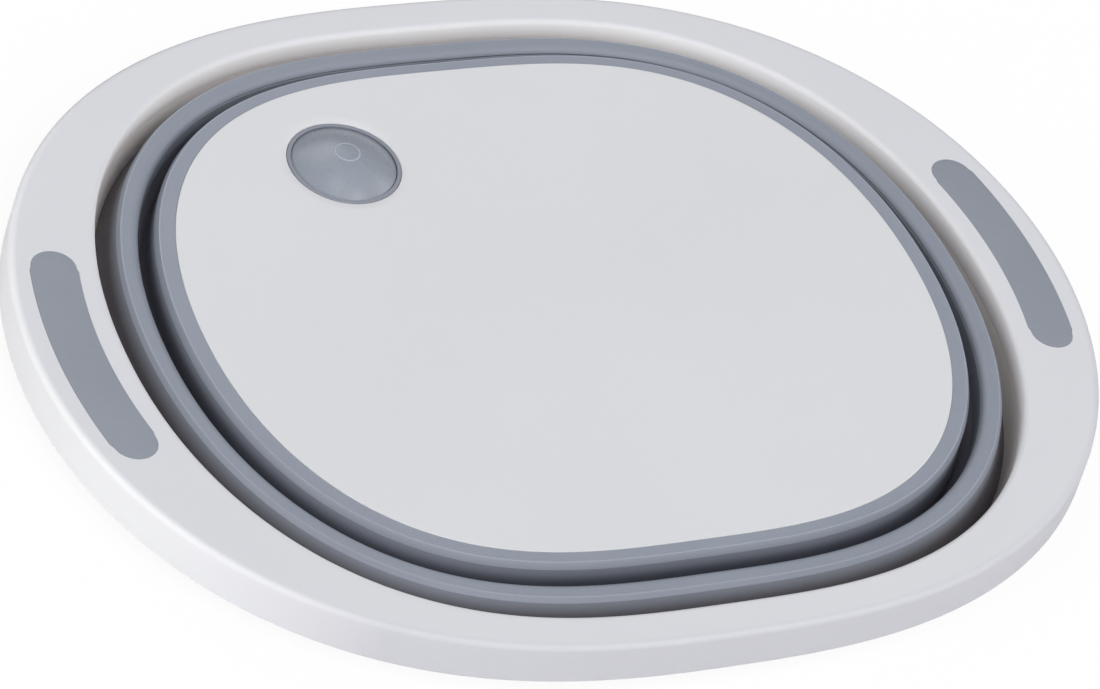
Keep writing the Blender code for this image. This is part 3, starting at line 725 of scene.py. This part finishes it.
dome = dome_profile()
under_cap = soften([dome[-2], (CAP_RADIUS, CAP_EDGE), (CAP_RADIUS, CAP_LOW), (STEM_HOLE, CAP_LOW),
                    (STEM_HOLE, STEM_HOLE_TOP), (0, STEM_HOLE_TOP)],
                   [0.00018, 0.0002, 0.0002, 0.0003], closed=False)
cap_profile = np.concatenate([dome[:-2], under_cap])
plug_cap = show(turned_mesh(cap_profile, DRAIN, 192), "plug_dome")

seal_profile = soften(
    [(STEM_HOLE, SEAL_LOW), (SEAL_RADIUS, SEAL_LOW), (SEAL_RADIUS, SEAL_TOP), (CUP_RADIUS, SEAL_TOP),
     (CUP_RADIUS, SEAL_FLOOR), (STEM_HOLE, SEAL_FLOOR)],
    [0.0002, 0.0005, 0.0003, 0.0002, 0.0002, 0.0002])
plug_seal = show(turned_mesh(seal_profile, DRAIN, 192, closed=True), "plug_seal_cup")

stem_profile = soften(
    [(0, STEM_TOP), (STEM_RADIUS, STEM_TOP), (STEM_RADIUS, COLLAR_TOP), (COLLAR_RADIUS, COLLAR_TOP),
     (COLLAR_RADIUS, COLLAR_FOOT), (0, COLLAR_FOOT)],
    [0.0004, 0.0003, 0.0003, 0.0010], closed=False)
plug_stem = show(turned_mesh(stem_profile, DRAIN, 128), "plug_stem")
print("plug faces:", [len(p.data.polygons) for p in (plug_cap, plug_seal, plug_stem)])

# %% [markdown]
# ## The feet
# Each foot is a small soft disc with a peg on top, pushed into its boss.

# %% Feet
FOOT_RADIUS = 0.0090
FOOT_HEIGHT = 0.0037
foot_profile = soften(
    [(0, PEG_TOP), (PEG_RADIUS, PEG_TOP), (PEG_RADIUS, FOOT_HEIGHT), (FOOT_RADIUS, FOOT_HEIGHT),
     (FOOT_RADIUS, 0), (0, 0)],
    [0.0005, 0.0003, 0.0004, 0.0010], closed=False)
FOOT_NODES = ["foot_front_left", "foot_back_left", "foot_front_right", "foot_back_right"]
feet = [show(turned_mesh(foot_profile, place, 64), node.replace("foot", "soft_foot"))
        for node, place in zip(FOOT_NODES, FOOT_PLACES)]
print("feet:", [foot.name for foot in feet])

# %% [markdown]
# ## Finishes
# Everything here is moulded, so the finishes differ in small things: how white, how smooth, and
# how fine the grain is that the mould leaves. Each could be drawn node by node in the shader
# editor. Here two recipes, one for the hard plastic and one for the rubber, are called with
# other numbers for every piece, so that the pieces stay alike where they should.
#
# Colours are written as linear light. A pattern reads Object coordinates, which are metres here,
# so a noise scale of 2000 has features about half a millimetre wide.

# %% Helpers for finishes


def new_finish(name, roughness, specular):
    """A material whose uniform numbers sit on the shader's own sockets."""
    finish = bpy.data.materials.new(name)
    finish.use_nodes = True
    shader = finish.node_tree.nodes["Principled BSDF"]
    shader.inputs["Roughness"].default_value = roughness
    shader.inputs["Specular IOR Level"].default_value = specular
    return finish, finish.node_tree, shader


def scaled(tone, share):
    """A colour with all three parts multiplied by one share."""
    return tuple(part * share for part in tone)


def spread(tree, value, low, high, new_low, new_high):
    """Map a value between low and high onto a new span, clamped."""
    node = tree.nodes.new("ShaderNodeMapRange")
    node.inputs["From Min"].default_value = low
    node.inputs["From Max"].default_value = high
    node.inputs["To Min"].default_value = new_low
    node.inputs["To Max"].default_value = new_high
    tree.links.new(value, node.inputs["Value"])
    return node.outputs["Result"]


def noise(tree, scale, detail):
    """Noise on Object coordinates."""
    place = tree.nodes.new("ShaderNodeTexCoord")
    pattern = tree.nodes.new("ShaderNodeTexNoise")
    pattern.inputs["Scale"].default_value = scale
    pattern.inputs["Detail"].default_value = detail
    tree.links.new(place.outputs["Object"], pattern.inputs["Vector"])
    return pattern.outputs["Fac"]


def patches(tree, scale, detail, low, high):
    """Noise whose middle part, from 0.3 to 0.7, is spread from low to high."""
    return spread(tree, noise(tree, scale, detail), 0.3, 0.7, low, high)


def blend_colour(tree, share, first, second):
    """Mix two colours, or a colour and a socket, by a share from 0 to 1."""
    node = tree.nodes.new("ShaderNodeMix")
    node.data_type = "RGBA"
    tree.links.new(share, node.inputs["Factor"])
    for socket, colour in ((node.inputs["A"], first), (node.inputs["B"], second)):
        if isinstance(colour, bpy.types.NodeSocket):
            tree.links.new(colour, socket)
        else:
            socket.default_value = (*colour, 1.0)
    return node.outputs["Result"]


def grain(tree, shader, height, strength, distance):
    """Raise the surface by a pattern, as a bump of that depth in metres."""
    bump = tree.nodes.new("ShaderNodeBump")
    bump.inputs["Strength"].default_value = strength
    bump.inputs["Distance"].default_value = distance
    tree.links.new(height, bump.inputs["Height"])
    tree.links.new(bump.outputs["Normal"], shader.inputs["Normal"])


def place_parts(tree):
    """The X, Y and Z of Object coordinates, each as a socket of its own."""
    place = tree.nodes.new("ShaderNodeTexCoord")
    split = tree.nodes.new("ShaderNodeSeparateXYZ")
    tree.links.new(place.outputs["Object"], split.inputs["Vector"])
    return split.outputs


def by_height(tree, low, high, at_low=0.0, at_high=1.0):
    """A value that goes from one number to another between two heights."""
    return spread(tree, place_parts(tree)["Z"], low, high, at_low, at_high)


print("features of noise at scale 2000 are about", 1000 / 2000, "mm wide")

# %% [markdown]
# The white plastic is a polypropylene with a satin surface. It is a cool white on top. Below
# the top the inner wall is painted lighter, as painted light, and low in the folds the colour
# drifts with height to a warmer, darker painted shade. Large soft noise keeps the wide deck
# from looking painted.
#
# The skirt carries painted light and shade in two tones, nearly white at the left end and
# greyer elsewhere. A lamp that did this alone would have to be so narrow that the floor would
# show its edge. The level of the rim's own outline tells the shader where the skirt begins.

# %% White plastic of the rim and the board
WHITE_SPECULAR = 0.14
# Heights of the warm painted shade low in the folds, and of the change from the inner wall's lighter
# painted light to the top's white.
WARM_SHADE_HEIGHTS = (0.0085, 0.0165)
TOP_HEIGHTS = (0.0178, 0.0199)
SKIRT_LEVELS = (0.955, 0.990)
# Span in x over which the skirt's painted light at the left end gives way to its greyer painted shade.
LEFT_END = (-0.185, -0.115)


def arithmetic(tree, operation, first, second=None):
    """One step of arithmetic on a socket and a number or another socket."""
    node = tree.nodes.new("ShaderNodeMath")
    node.operation = operation
    tree.links.new(first, node.inputs[0])
    if isinstance(second, bpy.types.NodeSocket):
        tree.links.new(second, node.inputs[1])
    elif second is not None:
        node.inputs[1].default_value = second
    return node.outputs[0]


def rim_level(tree):
    """The level |x / a|^p + |y / b|^q of the rim's outline, 1 at its edge, and x beside it."""
    parts = place_parts(tree)
    terms = []
    for axis, half, power in zip("XY", RIM_HALF, RIM_POWERS):
        share = arithmetic(tree, "DIVIDE", parts[axis], half)
        terms.append(arithmetic(tree, "POWER", arithmetic(tree, "ABSOLUTE", share), power))
    return arithmetic(tree, "ADD", *terms), parts["X"]


def white_plastic(name, top, inner, roughness, grain_scale, grain_depth, painted_shade=None, skirt=None):
    """Cool white that is painted lighter below the top, as painted light, with a fine moulded grain.

    painted_shade is the warmer, darker painted shade that the foot of the inner wall drifts to.
    skirt holds two tones of painted light and shade for the outer side: the first at the left
    end, the second elsewhere.
    """
    finish, tree, shader = new_finish(name, roughness, WHITE_SPECULAR)
    drift = blend_colour(tree, patches(tree, 9.0, 3.0, 0.0, 1.0), top, scaled(top, 1.025))
    # Painted shade: low on the inner wall the tone turns warmer and darker.
    if painted_shade:
        inner = blend_colour(tree, by_height(tree, *WARM_SHADE_HEIGHTS), painted_shade, inner)
    # Painted light: below the top the wall takes the lighter second tone.
    colour = blend_colour(tree, by_height(tree, *TOP_HEIGHTS), inner, drift)
    # Painted light and shade: the skirt is nearly white at the left end and greyer elsewhere.
    if skirt:
        level, along = rim_level(tree)
        sides = blend_colour(tree, spread(tree, along, *LEFT_END, 0.0, 1.0), *skirt)
        colour = blend_colour(tree, spread(tree, level, *SKIRT_LEVELS, 0.0, 1.0), colour, sides)
    tree.links.new(colour, shader.inputs["Base Color"])
    gloss = patches(tree, 160.0, 4.0, roughness - 0.04, roughness + 0.05)
    tree.links.new(gloss, shader.inputs["Roughness"])
    grain(tree, shader, noise(tree, grain_scale, 3.0), 0.35, grain_depth)
    return finish


# The second tone is painted light on the rim's inner wall, and the warm tone is painted shade low in the
# folds.
RIM_WHITE = white_plastic("rim_white_plastic", (0.562, 0.566, 0.594), (0.90, 0.885, 0.89), 0.56,
                          1500.0, 0.00006, painted_shade=(0.86, 0.805, 0.785),
                          # The skirt's first tone is painted light at the left end, the second painted
                          # shade elsewhere.
                          skirt=((0.79, 0.79, 0.805), (0.512, 0.512, 0.548)))
# The second tone is painted light on the board's sides below the top.
BOARD_WHITE = white_plastic("board_white_plastic", (0.571, 0.576, 0.595), (0.90, 0.89, 0.89), 0.55,
                            900.0, 0.00005)
print("white finishes:", RIM_WHITE.name, BOARD_WHITE.name)

# %% [markdown]
# The grey rubber is dull and slightly blue. Its specular light is broad, and a very fine grain
# breaks it up. The same recipe with other numbers gives the pads, the plug and the feet.
#
# In the grooves the tone is painted darker and browner than on the tops, as painted shade, and
# at the very foot a little paler again, as painted light. Rays alone make the grooves too even,
# so the tone changes with height in two steps. The crests of band and border are paler, a
# painted highlight for the fine bright line along them, and a little glossier. The fine line
# along the band's ledge and the plug's circle are painted highlights too.

# %% Grey rubbers
RUBBER_SPECULAR = 0.35
# Shares of the painted highlights: on the crests and the plug's circle, and on the ledge's line.
HIGHLIGHT_SHARE = 1.42
LEDGE_HIGHLIGHT_SHARE = 2.8
# Height of the fine painted highlight line along the band's ledge.
LEDGE_HIGHLIGHT_HEIGHT = 0.0103
LINE_SIDES = (0.00012, 0.00040)
MARK_SIDES = (0.00012, 0.00030)


def mark_share(tree):
    """1 on a fine circle about the drain's axis and 0 away from it."""
    parts = place_parts(tree)
    squares = []
    for axis, middle in zip("XY", DRAIN):
        away = arithmetic(tree, "SUBTRACT", parts[axis], middle)
        squares.append(arithmetic(tree, "POWER", arithmetic(tree, "ABSOLUTE", away), 2.0))
    reach = arithmetic(tree, "SQRT", arithmetic(tree, "ADD", *squares))
    beside = arithmetic(tree, "ABSOLUTE", arithmetic(tree, "SUBTRACT", reach, MARK_RADIUS))
    return spread(tree, beside, *MARK_SIDES, 1.0, 0.0)


def line_share(tree, height):
    """1 at a height, and 0 from 0.4 mm above and below it."""
    near, far = LINE_SIDES
    below = by_height(tree, height - far, height - near)
    above = by_height(tree, height + near, height + far, 1.0, 0.0)
    return arithmetic(tree, "MULTIPLY", below, above)


def soft_rubber(name, tone, roughness, grain_scale, grain_depth, painted_shade=None, glow=None, crest=None,
                ridge=None, mark=False):
    """A blue-grey rubber whose tone drifts a little and whose grain is very fine.

    painted_shade holds two heights and three shares: below the first height the tone falls to
    those shares, a painted shade in the grooves. glow holds the same three things and acts at the
    foot of a groove as painted light. crest is the height above which the tone is paler, a
    painted highlight, ridge the height of a fine painted highlight line, and mark draws the
    plug's circle as a painted highlight.
    """
    finish, tree, shader = new_finish(name, roughness, RUBBER_SPECULAR)
    colour = blend_colour(tree, patches(tree, 26.0, 4.0, 0.0, 1.0), scaled(tone, 0.93), tone)
    speck = spread(tree, noise(tree, 2600.0, 1.0), 0.35, 0.65, 0.0, 0.5)
    colour = blend_colour(tree, speck, colour, scaled(tone, 1.05))
    # Painted shade low in the grooves, then painted light at their very foot.
    for low, high, shares in (step for step in (painted_shade, glow) if step):
        shade = tuple(part * share for part, share in zip(tone, shares))
        colour = blend_colour(tree, by_height(tree, low, high), shade, colour)
    # Painted highlight: the tone is paler above the crest's height.
    if crest:
        pale = by_height(tree, crest + 0.00002, crest + 0.00008)
        colour = blend_colour(tree, pale, colour, scaled(tone, HIGHLIGHT_SHARE))
    # Painted highlight: a fine paler line along the ledge.
    if ridge:
        colour = blend_colour(tree, line_share(tree, ridge), colour, scaled(tone, LEDGE_HIGHLIGHT_SHARE))
    # Painted highlight along the plug's raised circle.
    if mark:
        colour = blend_colour(tree, mark_share(tree), colour, scaled(tone, HIGHLIGHT_SHARE))
    tree.links.new(colour, shader.inputs["Base Color"])
    gloss = patches(tree, 300.0, 3.0, roughness - 0.05, roughness + 0.05)
    if crest:
        gloss = arithmetic(tree, "SUBTRACT", gloss, by_height(tree, crest, crest + 0.00006, 0.0, 0.26))
    tree.links.new(gloss, shader.inputs["Roughness"])
    grain(tree, shader, noise(tree, grain_scale, 2.0), 0.3, grain_depth)
    return finish


# In these rubbers the lower tones are painted shade in the grooves, the tones at the very foot painted
# light, and the paler crests and ledge line painted highlights.
RING_TONE = (0.240, 0.262, 0.309)
BORDER_GREY = soft_rubber("border_grey_rubber", RING_TONE, 0.48, 1800.0, 0.00005,
                          painted_shade=(0.0145, 0.0218, (0.33, 0.32, 0.34)),
                          glow=(0.0030, 0.0110, (1.10, 0.96, 0.93)), crest=BORDER_TOP)
BAND_GREY = soft_rubber("band_grey_rubber", (0.226, 0.247, 0.293), 0.48, 1800.0, 0.00005,
                        glow=(0.0060, 0.0165, (1.35, 1.24, 1.24)), crest=BAND_TOP, ridge=LEDGE_HIGHLIGHT_HEIGHT)
WEB_GREY = soft_rubber("web_grey_rubber", RING_TONE, 0.60, 1800.0, 0.00005,
                       painted_shade=(0.0110, 0.0186, (0.36, 0.31, 0.29)),
                       glow=(0.0030, 0.0090, (0.62, 0.52, 0.48)))
BEAD_PALE = soft_rubber("bead_pale_rubber", (0.72, 0.68, 0.665), 0.60, 1800.0, 0.00005)
GRIP_GREY = soft_rubber("grip_grey_rubber", (0.230, 0.250, 0.292), 0.58, 2200.0, 0.00007)
PLUG_GREY = soft_rubber("plug_grey_rubber", (0.243, 0.266, 0.308), 0.30, 1800.0, 0.00004, mark=True)
SEAL_GREY = soft_rubber("seal_grey_rubber", (0.218, 0.232, 0.274), 0.55, 1800.0, 0.00004)
FOOT_GREY = soft_rubber("foot_grey_rubber", (0.215, 0.232, 0.262), 0.62, 1400.0, 0.00006)
print("rubber finishes:", [m.name for m in (BORDER_GREY, BAND_GREY, WEB_GREY, BEAD_PALE)])

# %% [markdown]
# ## Dress the frame
# Each piece takes its finish and hides the node it stands for, and all but the two webs ride on
# the body that carries them. The two webs cross a joint: one end belongs to one body and the
# other end to the next, so they ride on neither, and their transforms are baked into the mesh.

# %% Finish, body and node of every piece


def dress(piece, finish, node, body=None):
    """Give a piece its finish and slot, hide its node and let it ride."""
    piece.data.materials.clear()
    piece.data.materials.append(finish)
    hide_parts(node)
    if body:
        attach(piece, body)


dress(rim, RIM_WHITE, "rim_frame", "rim")
dress(grip_left, GRIP_GREY, "grip_left", "rim")
dress(grip_right, GRIP_GREY, "grip_right", "rim")
dress(bead, BEAD_PALE, "rim_bead", "rim")
dress(upper_web, WEB_GREY, "upper_web")
dress(band, BAND_GREY, "middle_band", "middle_wall")
dress(lower_web, BORDER_GREY, "lower_web")
dress(border, BORDER_GREY, "board_border", "base")
dress(board, BOARD_WHITE, "cutting_board", "base")
dress(plug_cap, PLUG_GREY, "plug_cap", "plug")
dress(plug_seal, SEAL_GREY, "plug_seal", "plug")
dress(plug_stem, RIM_WHITE, "plug_core", "plug")
for foot, node in zip(feet, FOOT_NODES):
    dress(foot, FOOT_GREY, node, "base")
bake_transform(upper_web)
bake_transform(lower_web)
print("dressed pieces:", 12 + len(feet))

# %% [markdown]
# ## Floor
# The photograph has a pure white ground with a faint shadow close to the near skirt. A white
# floor under plain light comes out light grey, so what the camera sees of it is lifted with a
# share of white of its own, while the light that it throws back on the basin stays plain.

# %% Floor and surroundings
FLOOR_HALF = 6.0
FLOOR_LEVEL = -0.00005
CAMERA_SHARE = 0.93


def floor_mesh():
    """A flat square just under the feet."""
    corners = np.array([(-1, -1), (1, -1), (1, 1), (-1, 1)]) * FLOOR_HALF
    mesh = bpy.data.meshes.new("white_floor")
    mesh.from_pydata(np.column_stack([corners, np.full(4, FLOOR_LEVEL)]).tolist(), [], [(0, 1, 2, 3)])
    return mesh


def seen_by_camera(tree, plain, seen, share):
    """Mix two shaders: camera rays get that share of the second, and all others only the first."""
    path = tree.nodes.new("ShaderNodeLightPath")
    mix = tree.nodes.new("ShaderNodeMixShader")
    tree.links.new(arithmetic(tree, "MULTIPLY", path.outputs["Is Camera Ray"], share), mix.inputs["Fac"])
    tree.links.new(plain, mix.inputs[1])
    tree.links.new(seen, mix.inputs[2])
    return mix.outputs["Shader"]


def floor_finish():
    """Plain white, plus a share of white that only the camera sees."""
    finish, tree, shader = new_finish("floor_white", 0.9, 0.1)
    shader.inputs["Base Color"].default_value = (0.80, 0.80, 0.80, 1)
    glow = tree.nodes.new("ShaderNodeEmission")
    glow.inputs["Color"].default_value = (1, 1, 1, 1)
    glow.inputs["Strength"].default_value = 1.0
    mixed = seen_by_camera(tree, shader.outputs["BSDF"], glow.outputs["Emission"], CAMERA_SHARE)
    tree.links.new(mixed, tree.nodes["Material Output"].inputs["Surface"])
    return finish


def white_room():
    """A world that is white to the camera and a faint cool fill to the basin."""
    world = bpy.data.worlds.new("white_room")
    world.use_nodes = True
    tree = world.node_tree
    seen = tree.nodes["Background"]
    seen.inputs["Color"].default_value = (1, 1, 1, 1)
    seen.inputs["Strength"].default_value = 1.0
    fill = tree.nodes.new("ShaderNodeBackground")
    fill.inputs["Color"].default_value = (0.93, 0.96, 1.0, 1)
    fill.inputs["Strength"].default_value = 0.10
    mixed = seen_by_camera(tree, fill.outputs["Background"], seen.outputs["Background"], 1.0)
    tree.links.new(mixed, tree.nodes["World Output"].inputs["Surface"])
    return world


floor = bpy.data.objects.new("white_floor", floor_mesh())
bpy.context.scene.collection.objects.link(floor)
floor.data.materials.append(floor_finish())
bpy.context.scene.world = white_room()
print("floor", 2 * FLOOR_HALF, "m wide, and a white room")

# %% [markdown]
# ## Light
# The photograph is lit almost without shadow. The near skirt is as bright as the deck, the left
# end is brighter, and only a thin shadow lies under the near edge. That takes two large soft
# lamps at the front, one low and one high, and one low at each side. A lamp overhead reaches
# down into the grooves. Three small lamps draw highlights: one on the plug's dome, one along the
# left crests and one on the far deck. A single big lamp would leave the skirt grey.
#
# Each lamp aims at the basin's middle. A line of the table gives its name, its bearing from the
# near side and its climb in degrees, how far away and how wide it is in metres, and its power.

# %% Lamps
LAMPS = [
    ("front low", 0, 27, 6.0, 3.2, 117.0),
    ("front high", 0, 50, 6.0, 3.2, 138.0),
    ("overhead", -60, 84, 4.0, 1.4, 15.0),
    ("front right spot", 39, 62, 3.0, 0.7, 13.0),
    ("left low", -85, 20, 4.0, 2.0, 54.0),
    ("left", -80, 43, 3.0, 0.8, 15.0),
    ("right", 85, 30, 4.0, 2.0, 39.0),
    ("back", 180, 40, 2.0, 1.2, 9.0),
]


def direction(bearing, climb):
    """The arrow (sin b cos c, -cos b cos c, sin c) for a bearing b and a climb c in degrees."""
    b, c = math.radians(bearing), math.radians(climb)
    return Vector((math.sin(b) * math.cos(c), -math.cos(b) * math.cos(c), math.sin(c)))


def soft_lamp(name, bearing, climb, reach, size, power):
    """A square area lamp that aims at the basin's middle."""
    light = bpy.data.lights.new(name, "AREA")
    light.shape = "SQUARE"
    light.size = size
    light.energy = power
    lamp = bpy.data.objects.new(name, light)
    bpy.context.scene.collection.objects.link(lamp)
    lamp.location = reach * direction(bearing, climb)
    lamp.rotation_euler = (-direction(bearing, climb)).to_track_quat("-Z", "Y").to_euler()
    return lamp


lamps = [soft_lamp(*row) for row in LAMPS]
print("lamps:", [lamp.name for lamp in lamps])

# %% [markdown]
# ## Camera
# The camera was found by fitting the ovals, the drain's circle and the pads to the photograph.
# It stands 1.7 m away with a long lens, looks down at 41 degrees from the left end's side, and
# is rolled, which is why the basin hangs to the right in the picture.

# %% Camera of the photograph
PHOTO_SIZE = (1100, 689)
AZIMUTH = -35.13
ELEVATION = 41.34
ROLL = math.radians(18.39)
DISTANCE = 1.727
FOCAL_PX = 5226.0
CENTRE_PX = (543.0, 334.0)
SENSOR = 36.0
AIM = Vector((-0.0146, -0.0140, RIM_TOP))

back = direction(AZIMUTH, ELEVATION)
level = direction(AZIMUTH + 90, 0)
rise = back.cross(level)
right = math.cos(ROLL) * level + math.sin(ROLL) * rise
up = -math.sin(ROLL) * level + math.cos(ROLL) * rise

camera_data = bpy.data.cameras.new("photo_camera")
camera_data.sensor_width = SENSOR
camera_data.lens = FOCAL_PX / PHOTO_SIZE[0] * SENSOR
camera_data.shift_x = (PHOTO_SIZE[0] / 2 - CENTRE_PX[0]) / PHOTO_SIZE[0]
camera_data.shift_y = (CENTRE_PX[1] - PHOTO_SIZE[1] / 2) / PHOTO_SIZE[0]
camera = bpy.data.objects.new("photo_camera", camera_data)
bpy.context.scene.collection.objects.link(camera)
turn = Matrix((right, up, back)).transposed()
camera.matrix_world = Matrix.Translation(AIM + back * DISTANCE) @ turn.to_4x4()
bpy.context.scene.camera = camera
bpy.context.scene.view_settings.view_transform = "Standard"
print("lens", round(camera_data.lens, 1), "mm at", [round(v, 3) for v in camera.location])
